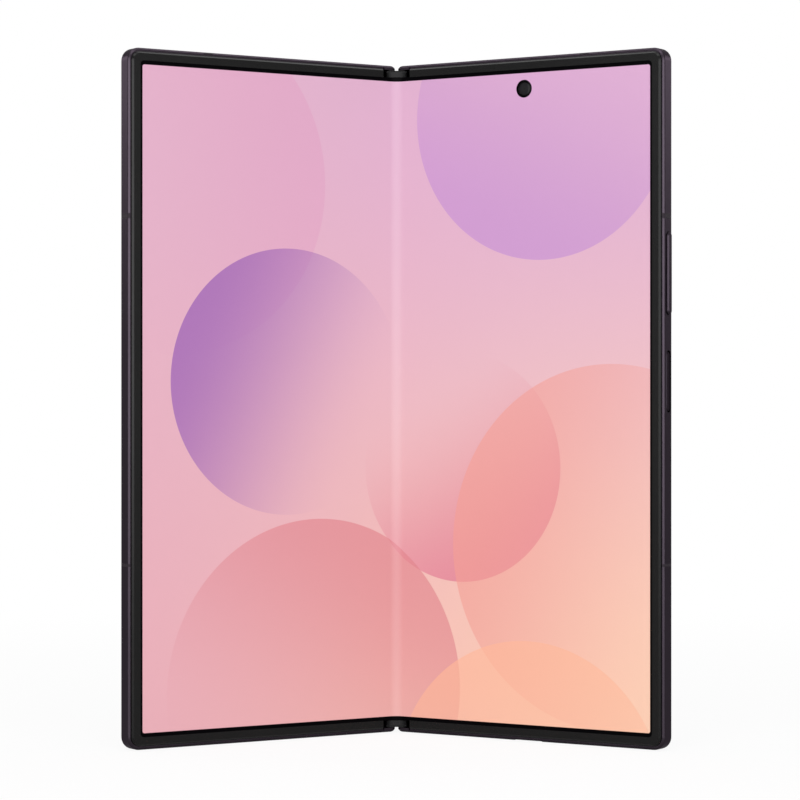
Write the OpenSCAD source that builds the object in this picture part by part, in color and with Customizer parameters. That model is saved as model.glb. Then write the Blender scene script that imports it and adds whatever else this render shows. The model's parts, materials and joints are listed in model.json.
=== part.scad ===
// Book-style foldable smartphone, standing on its lower edges and half open.
// Each half is drawn flat: x runs from the fold line to the outer edge, y from the screen
// side to the back, z up along the fold. The right half is then turned about its folding
// axis, and the left half is its mirror image. The hinge sits between them in the spine.

/* [Body] */
// Height of the device along the fold
body_h = 158.4; // [145:0.1:175]
// Width of one half from the fold line to its outer edge
half_w = 71.6; // [66:0.1:80]
// Thickness of one half
half_t = 4.2; // [4.2:0.05:5.5]
// Angle that each half is folded up from flat
fold_pose = 32.5; // [20:0.5:45]
// Radius of the outer corners
corner_r = 2.9; // [2.8:0.1:8]
// Radius of the corners beside the fold
fold_corner_r = 1.5; // [0.7:0.1:1.6]
// Width of the chamfer on the metal edge at the screen side
edge_front_w = 0.45; // [0.35:0.05:0.45]
// Rounding of the metal edge at the back
edge_back_r = 0.4; // [0.3:0.05:0.64]
// Distance from the fold line to each half when flat
fold_gap = 0.1; // [0.05:0.01:0.2]
// Rounding of the metal tips beside the fold
tip_r = 1.2; // [1.2:0.1:2]
// Thickness of the metal bars that cap the spine's ends
bar_w = 1; // [0.9:0.05:1.6]
// Height of the metal rim behind the front of the bezel
rim_drop = 0.4; // [0.2:0.05:0.5]

/* [Bezel] */
// Width of the metal rim around the bezel
rim_w = 0.45; // [0.45:0.05:0.8]
// Width of the groove between the rim and the bezel
groove_w = 0.4; // [0.2:0.05:0.5]
// Width of the bezel
bezel_w = 2.05; // [1.8:0.05:3]
// Height of the bezel's lip in front of the screen
lip_h = 0.25; // [0.15:0.05:0.3]
// Chamfer on the bezel's outer edge
bezel_chamfer = 0.4; // [0.2:0.05:0.5]
// Distance from the fold line to the bezel's ends
bezel_end = 4.1; // [4:0.1:4.6]
// Overlap of the bezel's lip on the display
lip_overlap = 0.1; // [0.1:0.05:0.3]

/* [Display] */
// Thickness of the flexible display panel
panel_t = 0.5; // [0.35:0.05:0.6]
// Thickness of the steel plate behind the panel
plate_t = 0.15; // [0.1:0.05:0.2]
// Radius of the screen surface where it bends, in the modelled position
bend_r = 3; // [2.8:0.1:3.6]
// Thickness of the cover display behind its glass
cover_panel_t = 0.5; // [0.3:0.05:0.55]
// Diameter of the camera opening in the screen
punch_d = 3.9; // [3:0.1:5]
// Distance from the fold line to the camera opening
punch_x = 35.3; // [25:0.1:45]
// Distance from the top edge to the camera opening
punch_top = 7.4; // [6.5:0.1:9]

/* [Shell] */
// Thickness of the frame's middle plate
mid_t = 0.5; // [0.4:0.05:0.7]
// Thickness of the back glass and the cover glass
glass_t = 0.5; // [0.4:0.05:0.5]
// Width of the metal edge around the glass
glass_rim = 0.9; // [0.8:0.05:1.2]
// Gap around the glass
glass_gap = 0.1; // [0.05:0.01:0.15]
// Distance from the fold line to the glass
glass_x = 4.9; // [4.8:0.1:6]
// Thickness of the frame's side walls
wall_t = 3; // [2.8:0.1:3.4]
// Distance from the fold line to the parts bay
bay_x = 14.2; // [14:0.1:16]
// Width of the ribs between the bays
rib_w = 1.2; // [0.8:0.1:2]
// Width of the antenna bands in the metal rim
band_w = 1.2; // [0.6:0.1:2]
// Depth of the antenna bands
band_depth = 0.6; // [0.3:0.05:0.65]

/* [Hinge] */
// Depth of the folding axes behind the bezel's front
axis_depth = 1.05; // [1.05:0.01:1.1]
// Gap between the two bezels when closed
closed_gap = 0.5; // [0.4:0.05:0.6]
// Thickness of each half's back wall over the spine
fold_wall = 0.5; // [0.4:0.05:0.5]
// Running gap between the spine and the halves
spine_gap = 0.15; // [0.1:0.01:0.15]
// Wall thickness of the spine cover
spine_wall = 0.4; // [0.3:0.05:0.4]
// Distance from the lower edge to the lower hinge unit
unit_z = 14; // [8:0.5:30]
// Thickness of the curved rail tongues
tongue_t = 0.4; // [0.3:0.05:0.4]
// Sweep of the rail tongues
tongue_sweep = 120; // [110:1:124]
// Running clearance of the rail tongues, radially
rail_gap = 0.05; // [0.03:0.01:0.06]
// Thickness of the rail brackets' plates
bracket_t = 0.5; // [0.4:0.05:0.5]
// Length of the rail brackets away from the fold
bracket_reach = 13.1; // [12.8:0.1:13.6]
// Module of the sync gears
gear_module = 0.1; // [0.095:0.001:0.1]
// Teeth on each sync gear
gear_teeth = 14; // [14]
// Depth of the gear shafts behind the folding axes
gear_depth = 1; // [0.95:0.01:1]
// Radius of the gear shafts
shaft_r = 0.28; // [0.2:0.01:0.3]
// Running clearance of the gears on their shafts
shaft_gap = 0.02; // [0.01:0.01:0.04]
// Length of the sync arms from shaft to pin
arm_len = 6.6; // [6:0.1:7]
// Radius of the arm pins
pin_r = 0.3; // [0.25:0.01:0.3]
// Running clearance of the arm pins in their slots
pin_gap = 0.05; // [0.03:0.01:0.06]
// Number of disc springs on each arm shaft
disc_count = 12; // [6:2:14]

/* [Keys and ports] */
// Length of the volume rocker
rocker_len = 18.7; // [14:0.1:24]
// Height of the volume rocker's middle above the lower edge
rocker_z = 107.5; // [104:0.5:112]
// How far the volume rocker stands out
rocker_out = 0.5; // [0.3:0.05:0.6]
// Length of the power key
power_len = 13.8; // [10:0.1:16]
// Height of the power key's middle above the lower edge
power_z = 83.1; // [78:0.1:86]
// Width of both keys
key_w = 1.9; // [1.5:0.1:1.9]
// Travel of the power key
key_travel = 0.3; // [0.2:0.05:0.3]
// Clearance around the keys
key_gap = 0.12; // [0.1:0.01:0.15]
// Distance from the fold line to the charging port
port_x = 36.1; // [32:0.1:40]
// Width of the charging port's opening
port_w = 8.34; // [8:0.01:9]
// Height of the charging port's opening
port_h = 2.56; // [2.3:0.01:2.56]
// Distance from the fold line to the card tray
tray_x = 40; // [36:0.5:46]
// Width of the card tray's face
tray_w = 14; // [13:0.1:16]
// Length of the card tray
tray_len = 17; // [15:0.1:19]

/* [Rear cameras] */
// Distance from the fold line to the cameras
cam_x = 57.2; // [56:0.1:58]
// Distance from the top edge to the uppermost camera
cam_top = 17; // [15:0.1:19]
// Distance between the cameras
cam_pitch = 18.5; // [16:0.1:19]
// Width of the camera island
island_w = 20; // [18:0.1:20.4]
// Height of the camera island above the glass
island_h = 1.9; // [1.2:0.1:3]
// Radius of the camera windows
lens_r = 5; // [4:0.1:6]
// Width of the metal rings around the camera windows
ring_w = 1; // [0.6:0.1:1.4]
// Height of the metal rings above the island
ring_h = 0.6; // [0.3:0.1:1]

/* [Hidden] */
$fn = 64;
big = 200;          // length of cutters that run past the object
seam = 0.01;        // overlap that makes two shapes of one piece a single solid
fit_gap = 0.05;     // clearance of parts that are dropped into a pocket
flush_gap = 0.005;  // clearance of pressed pins

// Depths through one half, counted from the bezel's front
plate_v = lip_h + panel_t;
floor_v = plate_v + plate_t;
mid_v = floor_v + mid_t;
glass_v = half_t - glass_t;
cover_v = glass_v - cover_panel_t - fit_gap;

// Insets from the outline
bezel_in = rim_w + groove_w;
screen_in = bezel_in + bezel_w;
panel_in = screen_in - lip_overlap;
cover_in = glass_rim + 0.8;
pocket_x = 3.6;       // where the room for display and bezel begins
edge_slope = 0.8;     // depth of the metal edge's chamfer over its width
edge_soft = 0.4;      // rounding between that chamfer and the wall
edge_turn = 90 - atan(edge_slope);    // angle between the chamfer and the wall
edge_run = edge_soft * tan(edge_turn / 2);    // length of each that the rounding takes
groove_v = 0.7;       // depth of the groove around the bezel
panel_corner = 1.2;   // radius of the display's corners
bezel_corner = 0.9;   // radius of the screen's corners
glass_edge = 0.25;    // rounding of the glass edges
glass_corner = 0.6;   // radius of the glass corners beside the fold

// Spine and folding axes
axis_x = axis_depth + closed_gap / 2;
axis_y = axis_depth;
cavity_r = half_t - fold_wall - axis_y;
spine_r = cavity_r - spine_gap;
bore_r = spine_r - spine_wall;
spine_z = bar_w + spine_gap;
block_gap = 0.03;
block_r = bore_r - block_gap;
cap_half = 2.35;      // end caps: half width, round nose and plug behind it
cap_nose_r = 5;
cap_rim = 0.15;       // thin rim at the cap's outer end, and the groove below it
cap_groove = 0.2;
cap_plug = 3;
cap_front = lip_h;
cap_z = [spine_z, panel_in - fit_gap];

// Screen bend: an arc of bend_r that runs tangent into both flat halves
bend_x = bend_r * sin(fold_pose);
bend_u = axis_x + (bend_x - axis_x - (lip_h - axis_y) * sin(fold_pose)) / cos(fold_pose);
bend_end_y = axis_y - (bend_u - axis_x) * sin(fold_pose) + (lip_h - axis_y) * cos(fold_pose);
bend_centre_y = bend_end_y - bend_r * cos(fold_pose);

// The device rests centred on the origin, so the whole model moves along y
front_reach = axis_y - (half_w - edge_front_w - axis_x) * sin(fold_pose)
  - (axis_y - rim_drop) * cos(fold_pose);
back_reach = axis_y + (axis_x - fold_gap - edge_back_r) * sin(fold_pose)
  + (half_t - axis_y - edge_back_r) * cos(fold_pose) + edge_back_r;
shift_y = -(front_reach + back_reach) / 2;

// Hinge unit, from its outer end inwards along z
right_rail = [1, 4];
left_rail = [5, 8];
gear_bay = [9, 11.5];
spring_bay = [12.5, 19];
unit_len = 20;
side_gap = 0.05;
disc_gap = 0.02;
tongue_out = block_r - 0.22 - rail_gap;
tongue_in = tongue_out - tongue_t;
neck_v = floor_v + fit_gap;
loop_r = 1.4;       // room that the closed display's loop takes
loop_y = 0.3;

// Gears in a row: arm gear, idler, idler, arm gear
pitch_r = gear_module * gear_teeth / 2;
gear_x = 3 * pitch_r;
gear_y = axis_y + gear_depth;
gear_out = pitch_r + 0.9 * gear_module;
gear_root = pitch_r - 1.15 * gear_module;
gear_bore = shaft_r + shaft_gap;
gear_z = [gear_bay[0] + side_gap, gear_bay[1] - side_gap];
half_pitch = 180 / gear_teeth;
pressure = 20;
backlash = 0.03;

// Sync arms: plate in front of the shaft, pin between plate and shaft
arm_rise = 0.6;
arm_t = 0.5;
pin_rise = 0.35;
arm_front = -arm_rise - arm_t / 2;
arm_back = -arm_rise + arm_t / 2;
offset_r = norm([gear_x - axis_x, gear_y - axis_y]);
offset_a = atan2(gear_y - axis_y, gear_x - axis_x);
slot_x = axis_x + arm_len;
slot_y = axis_y - pin_rise;
flange_t = 1;
flange_u = [slot_x - 2.5, slot_x + 2.2];
flange_v = slot_y + offset_r + pin_r + pin_gap + 0.3;
flange_z = [gear_bay[0] - flange_t, gear_bay[1] + flange_t];
pocket_v = flange_v + fit_gap;
screw_u = bracket_reach - 1.4;
screw_z = [3, 16.5];
screw_r = 0.45;
screw_head_r = 0.9;
screw_head_t = 0.3;
neck_u = axis_x + tongue_in;
bracket_u = axis_x + cavity_r + 0.2;

// Flexible circuit across the fold: a shallow curve in the spine and a tail in each half
flex_z = [body_h / 2 - 11, body_h / 2 + 11];
flex_gap = 0.5;
flex_t = 0.12;
flex_v = mid_v + 0.15;
flex_u = 4.1;
flex_tail = 3;
flex_steps = 12;
flex_end = [
  axis_x + (flex_u - axis_x) * cos(fold_pose) + (flex_v - axis_y) * sin(fold_pose),
  axis_y - (flex_u - axis_x) * sin(fold_pose) + (flex_v - axis_y) * cos(fold_pose)
];
flex_bow = tan(fold_pose) / 2 / flex_end[0];

// Keys: a cap in a slot, and a flange behind the wall
key_v = half_t / 2 + 0.4;
key_bevel = 0.3;
key_back = half_w - 1.4;
key_flange_t = 0.4;
key_flange_in = key_back - key_flange_t;
key_flange_w = key_w + 0.2;
key_flange_over = 0.6;
key_wall = key_back + 0.3;
switch_out = key_flange_in - key_travel - fit_gap;
pivot_r = 0.3;
pivot_x = key_flange_in - pivot_r * 0.4;
strip_t = 0.25;
strip_w = 1.6;
dome_r = 0.6;
dome_at = 0.36;     // share of the rocker's length from its middle to its switches

// Bays in both halves
bay_top = body_h - wall_t;
board_z = 94;       // lower end of the right upper bay
foot_z = 30;        // upper end of the lower bays
head_z = 126;       // lower end of the left upper bay
bay_r = 1.5;
bay_w = half_w - wall_t - bay_x;

// Charging port
port_v = glass_v - 0.1 - port_h / 2;
port_shell = 0.1;
port_z = 1;
port_relief_w = 7.3;  // shallow recess from the mouth to the front edge
port_relief = 0.15;
port_depth = 6.6;
port_seat = port_shell + fit_gap;
port_tongue_w = 6.6;
port_tongue_t = 0.7;

// Card tray
tray_v = 2.15;
tray_face_h = 1.8;
tray_face_t = 0.8;
tray_body_t = 0.8;
tray_body_w = 10.6;
card_w = 8.8;
card_len = 12.3;
reader_w = 13.2;
reader_back = 3.5;

// Sound holes, microphones and what lies inside
hole_v = half_t / 2;
speaker_x = [for (i = [0:5]) 48 + i * 2];
speaker_r = 0.55;
mic_r = 0.35;
mic_x = 27;
board_v = mid_v;
board_t = 0.7;
sub_board_t = 0.6;
board_gap = 0.3;
shield_r = 0.8;
shield_gap = 2;
shield_split = 30;    // where one shield ends and the next begins, from the fold line
shield_low_len = 21;
shield_mid_len = 15;
shield_top_len = 22;
shield_mid_x1 = 46;
speaker_w = 17.5;
speaker_len = 18.7;
speaker_x0 = 46.5;
earpiece_w = 15.5;
earpiece_len = 15.1;
motor_w = 9.5;
motor_len = 16;
motor_x = 20.75;
motor_z = 16;
pouch_gap = 0.8;
pouch_r = 1.2;
coil_t = 0.25;
coil_w = 2.6;
coil_r = [20, 16, 12];
magnet_len = 9;
magnet_in = 1.4;
magnet_w = 1.2;
magnet_h = 1.6;
magnet_z = [62, 136];

// Rear cameras, listed from the top
cam_z = [for (i = [0:2]) body_h - cam_top - i * cam_pitch];
island_top = half_t + island_h;
island_len = 2 * cam_pitch + island_w;
island_z = cam_z[1];
island_gap = 0.1;
island_wall = 1.2;
island_roof = 0.9;
module_half = lens_r + 0.3;
barrel_r = lens_r - 0.6;
barrel_h = 1.2;
flash_x = 42.5;
flash_r = 2.2;
front_cam_half = 2.7;
front_cam_h = 1.9;
cover_cam_x = 38;
cover_cam_r = 1.8;
cover_cam_half = 2.6;

// Bands of plastic across the metal rim: [distance from the fold or height, width]
side_bands = [[120.4, band_w], [41.7, band_w * 0.5]];
top_band_x = 51;

// ---------------------------------------------------------------- helpers

// Extrudes an x-z outline along y
module along_v(v0, v1) translate([0, v1, 0]) rotate([90, 0, 0]) linear_extrude(v1 - v0) children();
// Extrudes an x-y section along z
module along_z(z0, z1) translate([0, 0, z0]) linear_extrude(z1 - z0) children();
// Extrudes a y-z section along x
module along_x(x0, x1) translate([x0, 0, 0]) rotate([90, 0, 90]) linear_extrude(x1 - x0) children();

// Box from its two corners
module block(x0, x1, v0, v1, z0, z1) translate([x0, v0, z0]) cube([x1 - x0, v1 - v0, z1 - z0]);

// Round bar along z
module rod(x, y, r, z0, z1) translate([x, y, z0]) cylinder(r = r, h = z1 - z0);

// Round bar along y
module peg(x, z, r, v0, v1) translate([x, v1, z]) rotate([90, 0, 0]) cylinder(r = r, h = v1 - v0);

// Places something at a half's folded position
module right_pose() translate([axis_x, axis_y + shift_y, 0]) rotate([0, 0, -fold_pose])
  translate([-axis_x, -axis_y, 0]) children();
module left_pose() mirror([1, 0, 0]) right_pose() children();

// Places something drawn about the fold line of the spine
module spine_pose() translate([0, shift_y, 0]) children();

// Repeats something at the lower and, upside down, at the upper end
module both_ends() for (m = [0, 1]) translate([0, 0, m * body_h]) mirror([0, 0, m]) children();
module both_units() both_ends() translate([0, 0, unit_z]) children();
module both_sides() for (m = [0, 1]) mirror([m, 0, 0]) children();

// Rectangle with one radius at the outer corners and another at the fold side
module outline(x0, x1, z0, z1, ro, ri) {
  translate([x0 + ri, z0]) square([x1 - ro - x0 - ri, z1 - z0]);
  translate([x0, z0 + ri]) square([ri + seam, z1 - z0 - 2 * ri]);
  translate([x1 - ro - seam, z0 + ro]) square([ro + seam, z1 - z0 - 2 * ro]);
  for (z = [z0 + ro, z1 - ro]) translate([x1 - ro, z]) circle(ro);
  for (z = [z0 + ri, z1 - ri]) translate([x0 + ri, z]) circle(ri);
}

// Straight-sided slab of that outline
module plate(x0, x1, z0, z1, v0, v1, ro, ri) along_v(v0, v1) outline(x0, x1, z0, z1, ro, ri);

// Stadium: a slot with round ends, long along y of the drawing
module stadium(len, w) {
  square([w, len - w], center = true);
  for (s = [-1, 1]) translate([0, s * (len - w) / 2]) circle(w / 2);
}

// Section of a rounded rim: depth along y, edges rounded by ef and eb at distance r. With flat,
// the front edge is a chamfer of width ef that runs into the wall with a rounding of its own.
module rim_section(r, v0, v1, ef, eb, flat = false) difference() {
  translate([0, v0]) square([r, v1 - v0]);
  translate([r - ef, v0]) {
    if (flat) {
      polygon([[0, 0], [ef, 0], [ef, ef * edge_slope]]);
      translate([ef, ef * edge_slope]) difference() {
        polygon([
          [-edge_run * sin(edge_turn), -edge_run * cos(edge_turn)],
          [1, -1], [1, edge_run], [0, edge_run]
        ]);
        translate([-edge_soft, edge_run]) circle(edge_soft);
      }
    } else difference() {
      square(ef);
      translate([0, ef]) circle(ef);
    }
  }
  translate([r - eb, v1 - eb]) difference() {
    square(eb);
    circle(eb);
  }
}

// Quarter turn of a rim section about a corner's axis
module rim_corner(r, v0, v1, ef, eb, flat) mirror([0, 1, -1])
  rotate_extrude(angle = 90) rim_section(r, v0, v1, ef, eb, flat);

// Slab whose edges are rounded all round
module soft_slab(x0, x1, z0, z1, v0, v1, ro, ri, ef, eb, flat = false) {
  mid = (z0 + z1) / 2;
  rise = (z1 - z0) / 2;
  block(x0 + ri, x1 - ro, v0, v1, z0 + ro, z1 - ro);
  translate([x1 - ro, 0, 0]) along_z(z0 + ro, z1 - ro) rim_section(ro, v0, v1, ef, eb, flat);
  translate([x0 + ri, 0, 0]) mirror([1, 0, 0])
    along_z(z0 + ri, z1 - ri) rim_section(ri, v0, v1, ef, eb, flat);
  for (m = [0, 1]) translate([0, 0, mid]) mirror([0, 0, m]) {
    along_x(x0 + ri, x1 - ro) translate([0, rise - ro]) mirror([1, -1])
      rim_section(ro, v0, v1, ef, eb, flat);
    translate([x1 - ro, 0, rise - ro]) rim_corner(ro, v0, v1, ef, eb, flat);
    translate([x0 + ri, 0, rise - ri]) mirror([1, 0, 0]) rim_corner(ri, v0, v1, ef, eb, flat);
  }
}

// Wedge with its tip at the origin, from angle a0 to a1 (less than 180 apart)
module wedge(r, a0, a1) polygon([
  [0, 0],
  for (i = [0:4]) let (a = a0 + (a1 - a0) * i / 4) 2 * r * [cos(a), sin(a)]
]);

// Curved bar: part of a ring between two radii and two angles
module arc_bar(r0, r1, a0, a1) intersection() {
  difference() {
    circle(r1);
    circle(r0);
  }
  wedge(r1, a0, a1);
}

// ---------------------------------------------------------------- spine

// Outline of the space inside or around the spine's channel, for a given radius
module channel_section(r) {
  both_sides() translate([axis_x, axis_y]) circle(r);
  translate([-axis_x, axis_y]) square([2 * axis_x, r]);
}

// The same, cut off in front of the folding axes
module channel_behind(r, y0) intersection() {
  channel_section(r);
  translate([-big / 2, y0]) square([big, big]);
}

// Cuts in the spine's side walls for one rail neck and for the sync arms
module spine_notches() {
  neck_back = neck_v + bracket_t + fit_gap + 0.1;
  arm_clear = gear_y + arm_back + 0.1;
  block(0, big, 0, neck_back, right_rail[0] - side_gap, right_rail[1] + side_gap);
  block(-big, 0, 0, neck_back, left_rail[0] - side_gap, left_rail[1] + side_gap);
  block(-big, big, 0, arm_clear, gear_bay[0] - side_gap, gear_bay[1] + side_gap);
}

module spine_cover() color([0.16, 0.15, 0.17]) spine_pose() difference() {
  along_z(spine_z, body_h - spine_z) difference() {
    channel_behind(spine_r, axis_y);
    channel_section(bore_r);
  }
  both_units() spine_notches();
  block(-big, big, 0, axis_y + 0.9, flex_z[0] - flex_gap, flex_z[1] + flex_gap);
}

// Caps that close the spine's ends, with the round nose seen above the screen
module spine_end_caps() color([0.2, 0.2, 0.21]) spine_pose() both_ends() {
  difference() {
    along_z(cap_z[0], cap_z[1]) intersection() {
      union() {
        channel_behind(block_r, axis_y);
        translate([-cap_half, 0]) square([2 * cap_half, axis_y + seam]);
      }
      translate([0, cap_front + cap_nose_r]) circle(cap_nose_r);
      translate([-cap_half, 0]) square([2 * cap_half, big]);
    }
    block(-big, big, -1, cap_front + 0.25, -1, cap_z[0] + cap_rim);
    block(-big, big, -1, cap_front + 0.6, cap_z[0] + cap_rim, cap_z[0] + cap_rim + cap_groove);
  }
  // Plug behind the nose, which the cap is held by
  along_z(cap_z[1] - seam, cap_z[1] + cap_plug) channel_behind(block_r, axis_y + 1);
}

// Base of one hinge unit: curved rail slots, a bay for the gears and one for the springs
module hinge_block() difference() {
  along_z(0, unit_len) difference() {
    channel_behind(block_r, axis_y);
    translate([0, loop_y]) circle(loop_r);
  }
  rail_slot(right_rail);
  mirror([1, 0, 0]) rail_slot(left_rail);
  block(-big, big, 0, axis_y + bore_r - 0.25, gear_bay[0], gear_bay[1]);
  both_sides() {
    spring_room = gear_out + 0.05;
    rod(gear_x, gear_y, spring_room, spring_bay[0], spring_bay[1]);
    block(gear_x - spring_room, big, 0, gear_y, spring_bay[0], spring_bay[1]);
    rod(gear_x, gear_y, shaft_r + flush_gap, gear_bay[0] - 1, unit_len + seam);
    rod(gear_x - 2 * pitch_r, gear_y, shaft_r + flush_gap, gear_bay[0] - 1, spring_bay[0]);
  }
}

// Slot that a rail tongue slides in, open at the front for its neck
module rail_slot(span) {
  translate([axis_x, axis_y, 0]) along_z(span[0], span[1])
    arc_bar(tongue_in - rail_gap, tongue_out + rail_gap, -20, tongue_sweep + 8);
  block(axis_x + tongue_in - rail_gap, big, 0, neck_v + bracket_t + 0.1, span[0], span[1]);
}

module hinge_blocks() color([0.62, 0.63, 0.65]) spine_pose() both_units() hinge_block();

module gear_shafts() color([0.8, 0.8, 0.82]) spine_pose() both_units() both_sides() {
  rod(gear_x, gear_y, shaft_r, gear_bay[0] - 1, unit_len);
  rod(gear_x - 2 * pitch_r, gear_y, shaft_r, gear_bay[0] - 1, spring_bay[0]);
}

// Disc springs that press on the arm gears, so that the fold stays where it is put
module disc_springs() color([0.7, 0.66, 0.5]) spine_pose() both_units() both_sides() {
  space = (spring_bay[1] - spring_bay[0] - 2 * side_gap) / disc_count;
  disc_t = space * 0.45;
  cone = space - disc_t - disc_gap;
  for (i = [0:disc_count - 1])
    translate([gear_x, gear_y, spring_bay[0] + side_gap + (i + 0.5) * space])
      mirror([0, 0, i % 2]) translate([0, 0, -(disc_t + cone) / 2]) rotate_extrude() polygon([
        [gear_bore, 0], [gear_bore, disc_t], [gear_out, disc_t + cone], [gear_out, cone]
      ]);
}

// Flexible circuit that crosses the fold in the middle of the spine
module fold_flex_cable() color([0.55, 0.36, 0.12]) {
  spine_pose() along_z(flex_z[0], flex_z[1]) difference() {
    flex_under(0);
    flex_under(flex_t / cos(fold_pose));
  }
  right_pose() flex_tail_strip();
  left_pose() flex_tail_strip();
}

// Area in front of the circuit's curve, moved back by some depth
module flex_under(depth) polygon([
  [-flex_end[0], -5],
  for (i = [-flex_steps:flex_steps])
    let (x = flex_end[0] * i / flex_steps)
      [x, flex_end[1] + flex_t / cos(fold_pose) - depth + flex_bow * (flex_end[0] ^ 2 - x ^ 2)],
  [flex_end[0], -5]
]);

module flex_tail_strip() block(flex_u - 0.1, flex_u + flex_tail, flex_v, flex_v + flex_t,
  flex_z[0], flex_z[1]);

// ---------------------------------------------------------------- inner display

// Curved strip of the display stack, from depth d0 to d1 behind the screen surface
module bend_strip(d0, d1) spine_pose() along_z(panel_in, body_h - panel_in)
  translate([0, bend_centre_y]) arc_bar(bend_r + d0, bend_r + d1, 90 - fold_pose, 90 + fold_pose);

module inner_display_fold() color([0.93, 0.76, 0.83]) bend_strip(0, panel_t);
module fold_lattice() color([0.45, 0.45, 0.47]) bend_strip(panel_t, panel_t + plate_t);

module display_half(v0, v1) plate(bend_u, half_w - panel_in, panel_in, body_h - panel_in,
  v0, v1, panel_corner, seam);

module punch(r, v0, v1) peg(punch_x, body_h - punch_top, r, v0, v1);

module right_inner_display() color([0.93, 0.76, 0.83]) right_pose() difference() {
  display_half(lip_h, plate_v);
  punch(punch_d / 2, -1, floor_v);
}
module left_inner_display() color([0.91, 0.72, 0.8]) left_pose() display_half(lip_h, plate_v);
module right_display_plate() color([0.5, 0.5, 0.52]) right_pose() difference() {
  display_half(plate_v, floor_v);
  punch(punch_d / 2, -1, half_t);
}
module left_display_plate() color([0.5, 0.5, 0.52]) left_pose() display_half(plate_v, floor_v);

// ---------------------------------------------------------------- sync gears

function inv_angle(a) = tan(a) * 180 / PI - a;
function half_angle(rho) = let (rb = pitch_r * cos(pressure))
  90 / gear_teeth - backlash / pitch_r * 90 / PI + inv_angle(pressure)
  - inv_angle(acos(min(1, rb / rho)));
function polar(r, a) = r * [cos(a), sin(a)];

// Involute gear section with one tooth centred on the x axis
module gear_section() {
  base_r = pitch_r * cos(pressure);
  radii = [gear_root, base_r, (base_r + gear_out) / 2, gear_out];
  polygon([for (i = [0:gear_teeth - 1]) let (a = i * 360 / gear_teeth) each [
    for (k = [0:3]) polar(radii[k], a - half_angle(max(radii[k], base_r))),
    for (k = [3:-1:0]) polar(radii[k], a + half_angle(max(radii[k], base_r)))
  ]]);
}

// One sync arm drawn flat about its shaft: gear, cranked plate and pin boss
module sync_arm(phase) along_z(gear_z[0], gear_z[1]) difference() {
  union() {
    rotate(phase) gear_section();
    polygon([
      [0.15, -0.45], [0.5, -0.5], [0.85, arm_front], [arm_len, arm_front],
      [arm_len, arm_back], [1.15, arm_back], [0.45, 0.4], [0.1, 0.3]
    ]);
    translate([arm_len, -pin_rise]) circle(-arm_front - pin_rise);
  }
  circle(gear_bore);
  translate([arm_len, -pin_rise]) circle(pin_r + flush_gap);
}

// Puts something drawn flat about the right arm shaft at its folded position
module right_arm_pose() spine_pose() both_units() translate([gear_x, gear_y, 0])
  rotate([0, 0, -fold_pose]) children();
module left_arm_pose() mirror([1, 0, 0]) right_arm_pose() children();

module right_sync_arms() color([0.72, 0.72, 0.74]) right_arm_pose() sync_arm(half_pitch);
module left_sync_arms() color([0.72, 0.72, 0.74]) left_arm_pose() sync_arm(0);

module arm_pin() rod(arm_len, -pin_rise, pin_r, flange_z[0] + side_gap, flange_z[1] - side_gap);
module right_arm_pins() color([0.85, 0.85, 0.86]) right_arm_pose() arm_pin();
module left_arm_pins() color([0.85, 0.85, 0.86]) left_arm_pose() arm_pin();

module idler(phase) spine_pose() both_units() translate([pitch_r, gear_y, 0])
  rotate([0, 0, fold_pose + phase]) along_z(gear_z[0], gear_z[1]) difference() {
    gear_section();
    circle(gear_bore);
  }
module right_idler_gears() color([0.78, 0.7, 0.45]) idler(0);
module left_idler_gears() color([0.78, 0.7, 0.45]) mirror([1, 0, 0]) idler(half_pitch);

// ---------------------------------------------------------------- rail brackets

// Bracket of one half: plate under the screen, curved tongue, and flanges with the pin's slot
module rail_bracket(rail) difference() {
  union() {
    block(bracket_u, bracket_reach, neck_v, neck_v + bracket_t, 0, unit_len);
    block(neck_u, bracket_u + seam, neck_v, neck_v + bracket_t,
      rail[0] + side_gap, rail[1] - side_gap);
    translate([axis_x, axis_y, 0]) along_z(rail[0] + side_gap, rail[1] - side_gap)
      arc_bar(tongue_in, tongue_out, 0, tongue_sweep);
    for (z = [flange_z[0], gear_bay[1]]) block(flange_u[0], flange_u[1], neck_v, flange_v, z,
      z + flange_t);
  }
  // Window over the arm
  block(0, flange_u[1], 0, half_t, gear_bay[0], gear_bay[1]);
  // Curved slot that the arm's pin runs in
  translate([slot_x, slot_y, 0]) along_z(flange_z[0] - 1, flange_z[1] + 1) pin_slot();
  for (z = screw_z) {
    peg(screw_u, z, screw_r + fit_gap, 0, half_t);
    peg(screw_u, z, screw_head_r + fit_gap, 0, neck_v + screw_head_t);
  }
}

// The pin moves on an arc, because arm and bracket turn together about different axes
module pin_slot() {
  slot_r = pin_r + pin_gap;
  arc_bar(offset_r - slot_r, offset_r + slot_r, offset_a, offset_a + 90);
  for (a = [offset_a, offset_a + 90]) translate(polar(offset_r, a)) circle(slot_r);
}

module bracket_screw(z) {
  peg(screw_u, z, screw_head_r, neck_v, neck_v + screw_head_t);
  peg(screw_u, z, screw_r, neck_v + screw_head_t - seam, neck_v + bracket_t + 1.1);
}

module right_rail_brackets() color([0.58, 0.58, 0.6]) right_pose() both_units()
  rail_bracket(right_rail);
module left_rail_brackets() color([0.58, 0.58, 0.6]) left_pose() both_units()
  rail_bracket(left_rail);
module right_bracket_screws() color([0.3, 0.3, 0.32]) right_pose() both_units()
  for (z = screw_z) bracket_screw(z);
module left_bracket_screws() color([0.3, 0.3, 0.32]) left_pose() both_units()
  for (z = screw_z) bracket_screw(z);

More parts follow.
